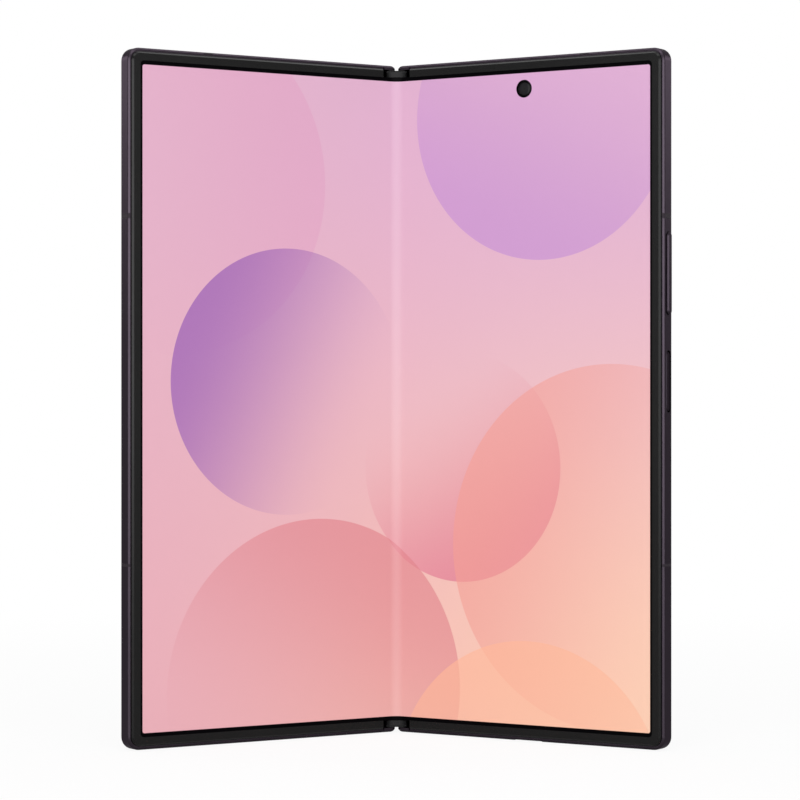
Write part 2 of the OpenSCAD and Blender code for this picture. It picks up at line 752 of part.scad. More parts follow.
// Room in a frame for one bracket, its flanges and its screws
module bracket_pocket() {
  block(0, bracket_reach + fit_gap, -1, neck_v + bracket_t, -fit_gap, unit_len + fit_gap);
  block(0, flange_u[1] + fit_gap, -1, pocket_v, flange_z[0] - fit_gap, flange_z[1] + fit_gap);
  for (z = screw_z) peg(screw_u, z, screw_r + flush_gap, 0, neck_v + bracket_t + 1.15);
}

// ---------------------------------------------------------------- frames

// Outer form of one half's metal frame
module frame_blank() soft_slab(fold_gap, half_w, 0, body_h, rim_drop, half_t,
  corner_r, fold_corner_r, edge_front_w, edge_back_r, true);

// Waste beside the fold: the tip's round front and the room for the spine
module fold_cuts() {
  along_z(-1, body_h + 1) difference() {
    translate([-1, -1]) square([1 + fold_gap + tip_r, 1 + rim_drop + tip_r]);
    translate([fold_gap + tip_r, rim_drop + tip_r]) circle(tip_r);
  }
  along_z(bar_w, body_h - bar_w) {
    translate([axis_x, axis_y]) circle(cavity_r);
    translate([-1, -1]) square([1 + axis_x, 1 + axis_y + cavity_r]);
    translate([0, -1]) square([axis_x + cavity_r, 1 + axis_y]);
  }
}

// Room for the display and the bezel inside the rim, and the groove around the bezel
module front_pocket() {
  inset = bezel_in - fit_gap;
  plate(pocket_x, half_w - inset, inset, body_h - inset, -1, floor_v, corner_r - inset, seam);
  plate(pocket_x, half_w - rim_w, rim_w, body_h - rim_w, -1, groove_v, corner_r - rim_w, seam);
}

// Seat of the glass
module glass_seat(inset, v) plate(glass_x - glass_gap + inset - glass_rim, half_w - inset + glass_gap,
  inset - glass_gap, body_h - inset + glass_gap, v, half_t + 1, corner_r - inset + glass_gap,
  glass_corner);

module bay(z0, z1) plate(bay_x, half_w - wall_t, z0, z1, mid_v, half_t, bay_r, bay_r);

module band_cuts() {
  for (b = side_bands) block(half_w - band_depth, half_w + 1, -1, half_t + 1, b[0] - b[1] / 2,
    b[0] + b[1] / 2);
  for (z = [-1, body_h - band_depth])
    block(top_band_x - band_w, top_band_x + band_w, -1, half_t + 1, z, z + 1 + band_depth);
}

// Plain frame of either half, before its own ports and keys
module frame_base() difference() {
  frame_blank();
  fold_cuts();
  front_pocket();
  both_units() bracket_pocket();
  block(0, bay_x + 1, mid_v, flex_v + flex_t + 0.5, flex_z[0] - flex_gap, flex_z[1] + flex_gap);
  band_cuts();
  magnet_pockets(fit_gap);
}

// Magnets that hold the two halves shut
module magnet_pockets(gap) for (z = magnet_z)
  block(half_w - magnet_in - magnet_w - gap, half_w - magnet_in + gap, floor_v, floor_v + magnet_h,
    z - magnet_len / 2 - gap, z + magnet_len / 2 + gap);
module magnets() magnet_pockets(0);
module right_magnets() color([0.6, 0.6, 0.62]) right_pose() magnets();
module left_magnets() color([0.6, 0.6, 0.62]) left_pose() magnets();

// Slot of one key through the side wall, with the room for its flange
module key_cut(z, len) translate([0, key_v, z]) {
  along_x(key_back, half_w + 1) stadium(len + 2 * key_gap, key_w + 2 * key_gap);
  flange_len = len + 2 * key_flange_over + 2 * key_gap;
  along_x(half_w - wall_t - seam, key_wall) square([key_flange_w + 2 * key_gap, flange_len], center = true);
}

// Row of sound holes and a microphone hole through the wall at z = 0
module sound_holes() {
  for (x = speaker_x) rod(x, hole_v, speaker_r, -1, wall_t + 1);
  rod(mic_x, hole_v, mic_r, -1, wall_t + 1);
}

module port_cut(grow) translate([port_x, port_v, 0]) translate([0, 0, -1])
  linear_extrude(1 + port_z + port_depth) rotate(90) stadium(port_w + 2 * grow, port_h + 2 * grow);

module right_frame() color([0.25, 0.22, 0.25]) right_pose() difference() {
  frame_base();
  glass_seat(glass_rim, glass_v);
  bay(wall_t, foot_z);
  bay(foot_z + rib_w, board_z - rib_w);
  bay(board_z, bay_top);
  key_cut(rocker_z, rocker_len);
  key_cut(power_z, power_len);
  sound_holes();
  translate([0, 0, body_h]) mirror([0, 0, 1]) rod(mic_x, hole_v, mic_r, -1, wall_t + 1);
  // Charging port: its mouth through the wall, the recess before it, and its seat
  port_cut(0);
  block(port_x - port_relief_w / 2, port_x + port_relief_w / 2, 0, port_v, -1, port_relief);
  block(port_x - port_w / 2 - port_seat, port_x + port_w / 2 + port_seat, floor_v, glass_v + seam,
    port_z, wall_t + seam);
  block(port_x - port_w / 2 - port_seat, port_x + port_w / 2 + port_seat, floor_v, mid_v + seam,
    port_z, port_z + port_depth + fit_gap);
  punch(punch_d / 2 + 1, 0, half_t);
}

module left_frame() color([0.25, 0.22, 0.25]) left_pose() difference() {
  frame_base();
  glass_seat(glass_rim, glass_v);
  glass_seat(cover_in, cover_v);
  left_bays();
  tray_cut();
  translate([0, 0, body_h]) mirror([0, 0, 1]) sound_holes();
}
module left_bays() {
  bay(wall_t, foot_z);
  bay(foot_z + rib_w, head_z - rib_w);
  bay(head_z, bay_top);
}
module tray_cut() {
  translate([tray_x, tray_v, -1]) linear_extrude(1 + tray_face_t + fit_gap) rotate(90)
    stadium(tray_w + 2 * key_gap, tray_face_h + 2 * key_gap);
  block(tray_x - tray_body_w / 2 - key_gap, tray_x + tray_body_w / 2 + key_gap,
    tray_v - tray_body_t / 2 - key_gap, tray_v + tray_body_t / 2 + key_gap, 0, wall_t + 1);
}

// Plastic bands that split the metal rim for the antennas
module antenna_bands() intersection() {
  difference() {
    frame_blank();
    front_pocket();
  }
  band_cuts();
}
module right_antenna_bands() color([0.2, 0.18, 0.2]) right_pose() antenna_bands();
module left_antenna_bands() color([0.2, 0.18, 0.2]) left_pose() antenna_bands();

// ---------------------------------------------------------------- bezels

// Ring around three sides of the screen, with a lip over the display's edge
module bezel_ring() difference() {
  bezel_blank();
  plate(0, half_w - screen_in, screen_in, body_h - screen_in, -1, half_t, bezel_corner, seam);
  plate(0, half_w - panel_in + fit_gap, panel_in - fit_gap, body_h - panel_in + fit_gap,
    lip_h, half_t, bezel_corner, seam);
}

// Outer form of the bezel with its chamfered edge
module bezel_blank() {
  r = corner_r - bezel_in;
  plate(bezel_end, half_w - bezel_in, bezel_in, body_h - bezel_in, bezel_chamfer, floor_v, r, seam);
  chamfer_slab(bezel_end, half_w - bezel_in, bezel_in, body_h - bezel_in, 0,
    bezel_chamfer + seam, r, bezel_chamfer);
}

// Slab that tapers towards its front by a chamfer on three sides
module chamfer_slab(x0, x1, z0, z1, v0, v1, r, c) {
  mid = (z0 + z1) / 2;
  rise = (z1 - z0) / 2;
  block(x0, x1 - r, v0, v1, z0 + r, z1 - r);
  translate([x1 - r, 0, 0]) along_z(z0 + r, z1 - r) chamfer_section(r, v0, v1, c);
  for (m = [0, 1]) translate([0, 0, mid]) mirror([0, 0, m]) {
    along_x(x0, x1 - r) translate([0, rise - r]) mirror([1, -1]) chamfer_section(r, v0, v1, c);
    translate([x1 - r, 0, rise - r]) mirror([0, 1, -1]) rotate_extrude(angle = 90)
      chamfer_section(r, v0, v1, c);
  }
}
module chamfer_section(r, v0, v1, c) polygon([[0, v0], [r - c, v0], [r, v0 + c], [r, v1], [0, v1]]);

module right_bezel() color([0.14, 0.14, 0.14]) right_pose() bezel_ring();
module left_bezel() color([0.14, 0.14, 0.14]) left_pose() bezel_ring();

// ---------------------------------------------------------------- backs

module glass_sheet() soft_slab(glass_x, half_w - glass_rim, glass_rim, body_h - glass_rim, glass_v,
  half_t, corner_r - glass_rim, glass_corner, 0.02, glass_edge);

module back_glass() color([0.3, 0.27, 0.31]) right_pose() difference() {
  glass_sheet();
  island_hole(island_gap);
  peg(flash_x, cam_z[0], flash_r + fit_gap, 0, half_t + 1);
}
module island_hole(gap) translate([cam_x, 0, island_z]) along_v(0, half_t + 1)
  stadium(island_len + 2 * gap, island_w + 2 * gap);

module camera_island() color([0.28, 0.25, 0.29]) right_pose() difference() {
  translate([cam_x, 0, island_z]) island_form();
  translate([cam_x, 0, island_z]) along_v(0, island_top - island_roof)
    stadium(island_len - 2 * island_wall, island_w - 2 * island_wall);
  for (z = cam_z) peg(cam_x, z, lens_r + ring_w, 0, island_top + 1);
}

// Raised pill with a rounded upper edge
module island_form() {
  half = island_w / 2;
  rise = island_len / 2 - half;
  for (m = [0, 1]) {
    mirror([m, 0, 0]) along_z(-rise, rise) rim_section(half, glass_v, island_top, 0.02, 0.5);
    mirror([0, 0, m]) translate([0, 0, rise]) mirror([0, 1, -1]) rotate_extrude(angle = 180)
      rim_section(half, glass_v, island_top, 0.02, 0.5);
  }
}

module camera_rings() color([0.45, 0.42, 0.46]) right_pose() for (z = cam_z)
  translate([cam_x, 0, z]) mirror([0, 1, -1]) rotate_extrude() polygon([
    [lens_r, island_top - island_roof], [lens_r + ring_w, island_top - island_roof],
    [lens_r + ring_w, island_top + ring_h - 0.2], [lens_r + ring_w - 0.2, island_top + ring_h],
    [lens_r, island_top + ring_h]
  ]);
module camera_windows() color([0.05, 0.05, 0.06]) right_pose() for (z = cam_z)
  peg(cam_x, z, lens_r - flush_gap, island_top - island_roof, island_top + ring_h - 0.25);

// Camera bodies: square housing, round barrel and front element
module camera_modules() color([0.1, 0.1, 0.11]) right_pose() for (z = cam_z) {
  roof = island_top - island_roof;
  block(cam_x - module_half, cam_x + module_half, mid_v, roof - barrel_h, z - module_half,
    z + module_half);
  peg(cam_x, z, barrel_r, roof - barrel_h - 0.1, roof - 0.1);
}
module flash_lens() color([0.95, 0.92, 0.8]) right_pose() peg(flash_x, cam_z[0], flash_r,
  glass_v - 0.3, half_t - 0.05);

// Camera behind the opening in the screen
module front_camera() color([0.03, 0.03, 0.04]) right_pose() {
  punch(punch_d / 2 - 0.1, plate_v - 0.2, mid_v + 0.1);
  translate([punch_x, 0, body_h - punch_top])
    block(-front_cam_half, front_cam_half, mid_v, mid_v + front_cam_h, -front_cam_half, front_cam_half);
}

module cover_display() color([0.08, 0.08, 0.1]) left_pose() difference() {
  plate(glass_x + cover_in - glass_rim, half_w - cover_in, cover_in, body_h - cover_in, cover_v,
    glass_v, corner_r - cover_in, glass_corner);
  cover_camera_hole(fit_gap);
}
module cover_camera_hole(gap) peg(cover_cam_x, body_h - punch_top, cover_cam_r + gap, 0, glass_v);
module cover_glass() color([0.1, 0.1, 0.12]) left_pose() glass_sheet();
module cover_camera() color([0.03, 0.03, 0.04]) left_pose() {
  peg(cover_cam_x, body_h - punch_top, cover_cam_r, cover_v - 0.3, glass_v - 0.05);
  translate([cover_cam_x, 0, body_h - punch_top])
    block(-cover_cam_half, cover_cam_half, mid_v, cover_v - 0.2, -cover_cam_half, cover_cam_half);
}

// ---------------------------------------------------------------- parts inside the right half

module main_board() color([0.05, 0.25, 0.18]) right_pose() difference() {
  plate(bay_x + board_gap, cam_x - lens_r - 1.2, board_z + board_gap, bay_top - board_gap,
    board_v, board_v + board_t, bay_r, bay_r);
  notch = front_cam_half + board_gap;
  translate([punch_x, 0, body_h - punch_top]) block(-notch, notch, 0, half_t, -notch, big);
}
module board_shields() color([0.75, 0.75, 0.77]) right_pose() {
  low = board_z + shield_gap;
  top = low + shield_low_len + shield_gap;
  shield(bay_x + shield_gap, shield_split, low, low + shield_low_len);
  shield(shield_split + shield_gap, shield_mid_x1, low, low + shield_mid_len);
  shield(bay_x + shield_gap, shield_split, top, top + shield_top_len);
}
// Pressed can with slightly drawn-in top edge
module shield(x0, x1, z0, z1) soft_slab(x0, x1, z0, z1, board_v + board_t, glass_v - 0.2,
  shield_r, shield_r, 0.05, 0.3);

// Pouch cell with rounded edges
module pouch(z0, z1, v1) soft_slab(bay_x + pouch_gap, half_w - wall_t - pouch_gap, z0 + pouch_gap,
  z1 - pouch_gap, mid_v, v1, pouch_r, pouch_r, 0.3, 0.3);
module right_battery() color([0.12, 0.12, 0.13]) right_pose()
  pouch(foot_z + rib_w, board_z - rib_w, glass_v - coil_t - 0.1);
module charging_coil() color([0.72, 0.42, 0.2]) right_pose() {
  coil_z = (foot_z + board_z) / 2;
  for (r = coil_r) translate([bay_x + bay_w / 2, 0, coil_z]) mirror([0, 1, -1]) rotate_extrude()
    translate([r, glass_v - coil_t - 0.1]) square([coil_w, coil_t]);
}

// Charging port: shell with its mouth, and the tongue inside
module usb_connector() color([0.65, 0.65, 0.67]) right_pose() translate([port_x, port_v, 0]) {
  translate([0, 0, port_z + fit_gap]) difference() {
    linear_extrude(port_depth - fit_gap) rotate(90)
      stadium(port_w + 2 * port_shell, port_h + 2 * port_shell);
    translate([0, 0, -1]) linear_extrude(port_depth) rotate(90) stadium(port_w, port_h);
  }
  block(-port_tongue_w / 2, port_tongue_w / 2, -port_tongue_t / 2, port_tongue_t / 2, port_z + 1.2,
    port_z + port_depth - 0.5);
}
module bottom_speaker() color([0.1, 0.1, 0.1]) right_pose()
  soft_slab(speaker_x0, speaker_x0 + speaker_w, wall_t + board_gap, wall_t + board_gap + speaker_len,
    mid_v, glass_v - 0.2, 1, 1, 0.2, 0.2);
module vibration_motor() color([0.66, 0.66, 0.68]) right_pose()
  soft_slab(motor_x - motor_w / 2, motor_x + motor_w / 2, motor_z - motor_len / 2,
    motor_z + motor_len / 2, mid_v, glass_v - 0.3, 1.4, 1.4, 0.2, 0.2);

// Dome switches on a strip behind the keys
module key_switches() color([0.8, 0.6, 0.25]) right_pose() {
  strip_in = half_w - wall_t + 0.1;
  key_strip(strip_in, rocker_z, rocker_len);
  key_strip(strip_in, power_z, power_len);
  for (s = [-1, 1]) dome(strip_in, rocker_z + s * rocker_len * dome_at);
  dome(strip_in, power_z);
}
module key_strip(x, z, len) block(x, x + strip_t, key_v - strip_w / 2, key_v + strip_w / 2,
  z - len / 2, z + len / 2);
module dome(x, z) translate([x + strip_t - seam, key_v, z]) rotate([0, 90, 0])
  cylinder(r = dome_r, h = switch_out - x - strip_t + seam);

// ---------------------------------------------------------------- keys

// Key cap with round ends, a bevelled edge, and a flange that keeps it behind the wall
module key(z, len, out) translate([0, key_v, z]) {
  x0 = key_back - seam;
  x1 = half_w + out;
  r = key_w / 2;
  rise = len / 2 - r;
  along_z(-rise, rise) polygon([
    [x0, -r], [x1 - key_bevel, -r], [x1, key_bevel - r],
    [x1, r - key_bevel], [x1 - key_bevel, r], [x0, r]
  ]);
  for (s = [-1, 1]) translate([0, 0, s * rise]) rotate([0, 90, 0]) rotate_extrude()
    polygon([[0, x0], [r, x0], [r, x1 - key_bevel], [r - key_bevel, x1], [0, x1]]);
  along_x(key_flange_in, key_back) square([key_flange_w, len + 2 * key_flange_over], center = true);
}
module volume_rocker() color([0.27, 0.24, 0.27]) right_pose() {
  key(rocker_z, rocker_len, rocker_out);
  // Fulcrum on which the rocker tips
  peg(pivot_x, rocker_z, pivot_r, key_v - strip_w / 2, key_v + strip_w / 2);
}
module power_key() color([0.22, 0.2, 0.23]) right_pose() key(power_z, power_len, -0.05);

// ---------------------------------------------------------------- parts inside the left half

module left_battery() color([0.12, 0.12, 0.13]) left_pose()
  pouch(foot_z + rib_w, head_z - rib_w, cover_v - 0.1);
module sub_board() color([0.05, 0.25, 0.18]) left_pose() difference() {
  plate(bay_x + board_gap, half_w - wall_t - board_gap, head_z + board_gap, bay_top - board_gap,
    board_v, board_v + sub_board_t, bay_r, bay_r);
  notch = cover_cam_half + board_gap;
  translate([cover_cam_x, 0, body_h - punch_top]) block(-notch, notch, 0, half_t, -notch, big);
}
module earpiece_speaker() color([0.1, 0.1, 0.1]) left_pose()
  soft_slab(speaker_x0, speaker_x0 + earpiece_w, bay_top - board_gap - earpiece_len,
    bay_top - board_gap, board_v + sub_board_t, cover_v - 0.1, 1, 1, 0.1, 0.1);

// Reader that the card tray slides into
module card_reader() color([0.7, 0.7, 0.72]) left_pose() difference() {
  block(tray_x - reader_w / 2, tray_x + reader_w / 2, mid_v, cover_v - 0.1, wall_t + board_gap,
    tray_len + reader_back);
  block(tray_x - tray_body_w / 2 - key_gap, tray_x + tray_body_w / 2 + key_gap,
    tray_v - tray_body_t / 2 - key_gap, tray_v + tray_body_t / 2 + key_gap, 0, tray_len + 2);
}

// Tray with a face flush with the lower edge and a cradle for the card
module card_tray() color([0.27, 0.24, 0.27]) left_pose() translate([tray_x, 0, 0]) {
  translate([0, tray_v, 0.03]) linear_extrude(tray_face_t) rotate(90) stadium(tray_w, tray_face_h);
  difference() {
    block(-tray_body_w / 2, tray_body_w / 2, tray_v - tray_body_t / 2, tray_v + tray_body_t / 2,
      tray_face_t - 0.1, tray_len);
    card_space(fit_gap);
  }
}
module card_space(gap) block(-card_w / 2 - gap, card_w / 2 + gap, tray_v - tray_body_t / 2 - 1 + gap,
  tray_v + 0.3, tray_len - 1 - card_len - gap, tray_len - 1 + gap);
module sim_card() color([0.9, 0.9, 0.88]) left_pose() translate([tray_x, 0, 0])
  block(-card_w / 2, card_w / 2, tray_v - tray_body_t / 2, tray_v + 0.27, tray_len - 1 - card_len,
    tray_len - 1);

// ---------------------------------------------------------------- the pieces

spine_cover();
spine_end_caps();
hinge_blocks();
gear_shafts();
disc_springs();
fold_flex_cable();
inner_display_fold();
fold_lattice();
right_sync_arms();
left_sync_arms();
right_arm_pins();
left_arm_pins();
right_idler_gears();
left_idler_gears();
right_frame();
right_antenna_bands();
right_bezel();
right_inner_display();
right_display_plate();
right_rail_brackets();
right_bracket_screws();
back_glass();
camera_island();
camera_rings();
camera_windows();
camera_modules();
flash_lens();
front_camera();
main_board();
board_shields();
right_battery();
charging_coil();
usb_connector();
bottom_speaker();
vibration_motor();
key_switches();
right_magnets();
volume_rocker();
power_key();
left_frame();
left_antenna_bands();
left_bezel();
left_inner_display();
left_display_plate();
left_rail_brackets();
left_bracket_screws();
cover_display();
cover_glass();
cover_camera();
left_battery();
sub_board();
earpiece_speaker();
card_reader();
left_magnets();
card_tray();
sim_card();
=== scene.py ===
"""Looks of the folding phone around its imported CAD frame. All lengths are in metres."""
import json
import math

import bmesh
import bpy
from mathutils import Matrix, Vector


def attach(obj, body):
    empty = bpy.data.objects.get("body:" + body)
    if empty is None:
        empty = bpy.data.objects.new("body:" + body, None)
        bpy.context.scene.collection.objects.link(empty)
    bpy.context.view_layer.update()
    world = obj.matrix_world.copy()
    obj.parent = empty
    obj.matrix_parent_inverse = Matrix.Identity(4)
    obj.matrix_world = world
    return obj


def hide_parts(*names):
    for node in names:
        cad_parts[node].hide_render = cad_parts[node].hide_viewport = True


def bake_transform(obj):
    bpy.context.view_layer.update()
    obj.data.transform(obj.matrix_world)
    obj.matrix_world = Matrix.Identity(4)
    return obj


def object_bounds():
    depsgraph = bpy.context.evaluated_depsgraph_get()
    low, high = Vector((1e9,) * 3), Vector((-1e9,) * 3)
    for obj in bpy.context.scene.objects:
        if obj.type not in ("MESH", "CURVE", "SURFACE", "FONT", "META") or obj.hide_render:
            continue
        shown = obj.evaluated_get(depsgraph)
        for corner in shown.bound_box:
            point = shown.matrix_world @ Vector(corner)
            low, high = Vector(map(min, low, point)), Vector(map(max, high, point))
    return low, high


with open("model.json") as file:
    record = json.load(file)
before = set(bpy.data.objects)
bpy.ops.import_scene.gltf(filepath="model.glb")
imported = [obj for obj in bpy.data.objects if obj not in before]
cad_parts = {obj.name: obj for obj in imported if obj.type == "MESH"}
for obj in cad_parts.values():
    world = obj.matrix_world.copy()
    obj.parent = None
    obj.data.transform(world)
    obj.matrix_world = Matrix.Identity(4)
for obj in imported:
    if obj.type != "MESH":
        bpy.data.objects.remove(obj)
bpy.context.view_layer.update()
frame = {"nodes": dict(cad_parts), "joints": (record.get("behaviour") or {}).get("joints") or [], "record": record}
NODES = frame["nodes"]
JOINTS = {joint["name"]: joint for joint in frame["joints"]}

RIGHT, LEFT = 1, -1
SIDE_NAMES = {RIGHT: "right", LEFT: "left"}

# Sizes of the body, as in the CAD source
BODY_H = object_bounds()[1].z
HALF_W = 0.0716
HALF_T = 0.0042

# The fold: angle and folding axis of the right half, and the axis' depth behind the bezel's front
FOLD = math.radians(JOINTS["right_fold"]["range_deg"][1])
AXIS = Vector(JOINTS["right_fold"]["pos_m"]).xy
AXIS_DEPTH = 0.00105

# The flexible screen and what lies behind it
LIP_H = 0.00025                 # from the bezel's front back to the screen
PANEL_T = 0.0005
PLATE_T = 0.00015
PANEL_IN = 0.0028               # from the half's edges to the screen's
PANEL_R = 0.0012
BEND_R = 0.003                  # radius of the screen's surface along the fold
BEND_STEPS = 24

# The lit picture and the camera opening in it, as distances from the fold line and the foot
LIT_IN = (0.0035, 0.00378)      # from the outer and from the upper and lower edges to the picture
LIT_R = 0.0005
PUNCH = (0.0353, BODY_H - 0.0074)
PUNCH_R = 0.00195
DARK_R = 0.00207                # radius of the black round the camera opening
CREASE_W = 0.0021               # half the width of the painted sheen of white along the fold

# Cover screen's camera and rear cameras: places from the fold line and from the top, and a radius
COVER_CAM_X = 0.038
COVER_CAM_R = 0.0018
CAM_X = 0.0572
CAM_COUNT = 3
CAM_TOP = 0.017
CAM_PITCH = 0.0185
CAM_Z = [BODY_H - CAM_TOP - i * CAM_PITCH for i in range(CAM_COUNT)]

# The flexible circuit: where it meets the halves, and its flat tail there
FLEX_U, FLEX_V, FLEX_TAIL = 0.0041, 0.00155, 0.003
FLEX_T = 0.00012
FLEX_HALF_H = 0.011
FLEX_Z = (BODY_H / 2 - FLEX_HALF_H, BODY_H / 2 + FLEX_HALF_H)
FLEX_STEPS = 16

# The bend runs tangent into both flat halves
BEND_X = BEND_R * math.sin(FOLD)
BEND_U = AXIS.x + (BEND_X - AXIS.x - (LIP_H - AXIS_DEPTH) * math.sin(FOLD)) / math.cos(FOLD)
BEND_CENTRE_Y = (AXIS.y - (BEND_U - AXIS.x) * math.sin(FOLD)
                 + (LIP_H - AXIS_DEPTH - BEND_R) * math.cos(FOLD))


def on_half(u, v, z, side):
    """Point of a folded half: u from the fold line outwards, v behind the bezel's front."""
    du, dv = u - AXIS.x, v - AXIS_DEPTH
    x = AXIS.x + du * math.cos(FOLD) + dv * math.sin(FOLD)
    y = AXIS.y - du * math.sin(FOLD) + dv * math.cos(FOLD)
    return Vector((side * x, y, z))


def on_sheet(u, z, depth, side):
    """Point of the bending sheet, at some depth behind the screen's surface."""
    if u >= BEND_U:
        return on_half(u, LIP_H + depth, z, side)
    turn = FOLD * u / BEND_U
    reach = BEND_R + depth
    return Vector((side * reach * math.sin(turn), BEND_CENTRE_Y + reach * math.cos(turn), z))


# ------------------------------------------------------------------ materials

# Colour inputs and output of a Mix node that mixes colours
MIX_FACTOR, MIX_FIRST, MIX_SECOND, MIX_RESULT = 0, 6, 7, 2


def srgb(red, green, blue):
    """Scene colour from 0 to 255 screen values."""
    def channel(value):
        value /= 255
        return value / 12.92 if value <= 0.04045 else ((value + 0.055) / 1.055) ** 2.4
    return channel(red), channel(green), channel(blue), 1.0


def shade(colour, factor):
    """The colour made darker or lighter, up to full."""
    return tuple(min(1.0, factor * channel) for channel in colour[:3]) + (1.0,)


class Shader:
    """A Principled material with short helpers for its nodes."""

    def __init__(self, name, **values):
        self.material = bpy.data.materials.new(name)
        self.material.use_nodes = True
        self.tree = self.material.node_tree
        self.surface = self.tree.nodes["Principled BSDF"]
        self.set(**values)

    def set(self, **values):
        """Writes uniform values on the shader's own sockets."""
        for name, value in values.items():
            self.surface.inputs[name.replace("_", " ")].default_value = value

    def feed(self, socket, value):
        """Links a socket to an input, or writes a number or colour on it."""
        if isinstance(value, bpy.types.NodeSocket):
            self.tree.links.new(value, socket)
        else:
            socket.default_value = value

    def node(self, kind, *inputs, **settings):
        """A node with its settings, and with inputs set by position."""
        made = self.tree.nodes.new("ShaderNode" + kind)
        for name, value in settings.items():
            setattr(made, name, value)
        for i, value in enumerate(inputs):
            self.feed(made.inputs[i], value)
        return made

    def math(self, operation, *inputs, clamp=False):
        """Result of an operation on numbers."""
        return self.node("Math", *inputs, operation=operation, use_clamp=clamp).outputs[0]

    def vector(self, operation, *inputs):
        """Result of an operation on vectors."""
        made = self.node("VectorMath", *inputs, operation=operation)
        single = operation in ("LENGTH", "DOT_PRODUCT", "DISTANCE")
        return made.outputs["Value" if single else "Vector"]

    def step(self, value, low, high):
        """Smooth step from 0 at low to 1 at high."""
        return self.node("MapRange", value, low, high, 0.0, 1.0, interpolation_type="SMOOTHSTEP").outputs[0]

    def ramp(self, value, low, high):
        """Number between low and high, from a number between 0 and 1."""
        return self.node("MapRange", value, 0.0, 1.0, low, high).outputs[0]

    def mix(self, share, first, second):
        """Colour between two colours."""
        made = self.node("Mix", data_type="RGBA")
        self.feed(made.inputs[MIX_FACTOR], share)
        self.feed(made.inputs[MIX_FIRST], first)
        self.feed(made.inputs[MIX_SECOND], second)
        return made.outputs[MIX_RESULT]

    def place(self):
        """Place on the object, which is its place in the frame at rest."""
        return self.node("TexCoord").outputs["Object"]

    def noise(self, scale, detail=3.0, stretch=(1, 1, 1)):
        """Noise in the object's own place, 0 to 1."""
        made = self.node("TexNoise")
        self.feed(made.inputs["Vector"], self.vector("MULTIPLY", self.place(), stretch))
        self.feed(made.inputs["Scale"], scale)
        self.feed(made.inputs["Detail"], detail)
        return made.outputs[0]

    def bump(self, height, distance, strength=1.0):
        """Raises the surface by a height from 0 to 1, times a distance."""
        made = self.node("Bump")
        self.feed(made.inputs["Strength"], strength)
        self.feed(made.inputs["Distance"], distance)
        self.feed(made.inputs["Height"], height)
        self.feed(self.surface.inputs["Normal"], made.outputs[0])

    def colour(self, value):
        self.feed(self.surface.inputs["Base Color"], value)

    def roughness(self, value):
        self.feed(self.surface.inputs["Roughness"], value)


def anodised(name, colour, rough):
    """Bead-blasted, dyed aluminium: fine grain, and dye that varies a little."""
    made = Shader(name, Metallic=1.0, Specular_Tint=(0.6, 0.57, 0.6, 1.0))
    made.colour(made.mix(made.noise(scale=60, detail=4), shade(colour, 0.88), shade(colour, 1.1)))
    made.roughness(made.ramp(made.noise(scale=300), rough - 0.03, rough + 0.03))
    made.bump(made.noise(scale=9000, detail=2), distance=0.000004, strength=0.35)
    return made.material


def plastic(name, colour, rough, specular=0.5):
    """Moulded plastic with a fine spark-eroded grain."""
    made = Shader(name, Specular_IOR_Level=specular)
    made.colour(made.mix(made.noise(scale=90, detail=4), shade(colour, 0.85), shade(colour, 1.12)))
    made.roughness(made.ramp(made.noise(scale=500), rough - 0.05, rough + 0.05))
    made.bump(made.noise(scale=2500), distance=0.000006, strength=0.5)
    return made.material


def machined(name, colour, rough, stretch=(1, 1, 12)):
    """Cut or drawn metal with fine lines, which run across the axes with the larger stretch."""
    made = Shader(name, Metallic=1.0)
    lines = made.noise(scale=900, stretch=stretch)
    made.colour(made.mix(lines, shade(colour, 0.85), colour))
    made.roughness(made.ramp(lines, rough - 0.06, rough + 0.08))
    made.bump(lines, distance=0.000003, strength=0.4)
    return made.material


def coated_glass(name, colour, rough, coat=0.6, specular=0.5):
    """Glass with its colour behind it."""
    made = Shader(name, IOR=1.5, Coat_Weight=coat, Coat_Roughness=0.03, Specular_IOR_Level=specular)
    made.colour(made.mix(made.noise(scale=40), shade(colour, 0.9), colour))
    made.roughness(made.ramp(made.noise(scale=1200, detail=2), rough, rough + 0.04))
    return made.material


COVER_GLASS, COVER_RING, COVER_LENS = srgb(11, 11, 13), srgb(58, 57, 62), srgb(6, 6, 12)
COVER_RING_EDGE = 0.00005
COVER_LENS_EDGE = (0.62, 0.58)      # where the lens begins and is full, as shares of the ring's radius


def cover_glass():
    """Dark glass over the cover screen, with the ring of its camera showing through."""
    made = Shader("cover_glass", IOR=1.5, Coat_Weight=0.3, Coat_Roughness=0.03, Specular_IOR_Level=0.35)
    middle = tuple(on_half(COVER_CAM_X, HALF_T, PUNCH[1], LEFT))
    radius = made.vector("DISTANCE", made.place(), middle)
    disc = made.step(radius, COVER_CAM_R + COVER_RING_EDGE, COVER_CAM_R - COVER_RING_EDGE)
    lens = made.step(radius, *(share * COVER_CAM_R for share in COVER_LENS_EDGE))
    made.colour(made.mix(lens, made.mix(disc, COVER_GLASS, COVER_RING), COVER_LENS))
    made.roughness(made.ramp(made.noise(scale=1200, detail=2), 0.05, 0.09))
    return made.material


def lattice():
    """Thin steel with rows of fine slots along the fold."""
    steel, gap = (0.22, 0.22, 0.23, 1.0), (0.03, 0.03, 0.03, 1.0)
    rows = (900.0, 240.0, 240.0)
    made = Shader("lattice", Metallic=1.0, Roughness=0.38)
    slots = made.node("TexBrick", made.vector("MULTIPLY", made.place(), rows), offset=0.5)
    made.feed(slots.inputs["Mortar Size"], 0.2)
    made.feed(slots.inputs["Scale"], 1.0)
    made.colour(made.mix(slots.outputs["Fac"], steel, gap))
    made.bump(slots.outputs["Fac"], distance=-0.00002)
    return made.material


RING_MAP = "ring"

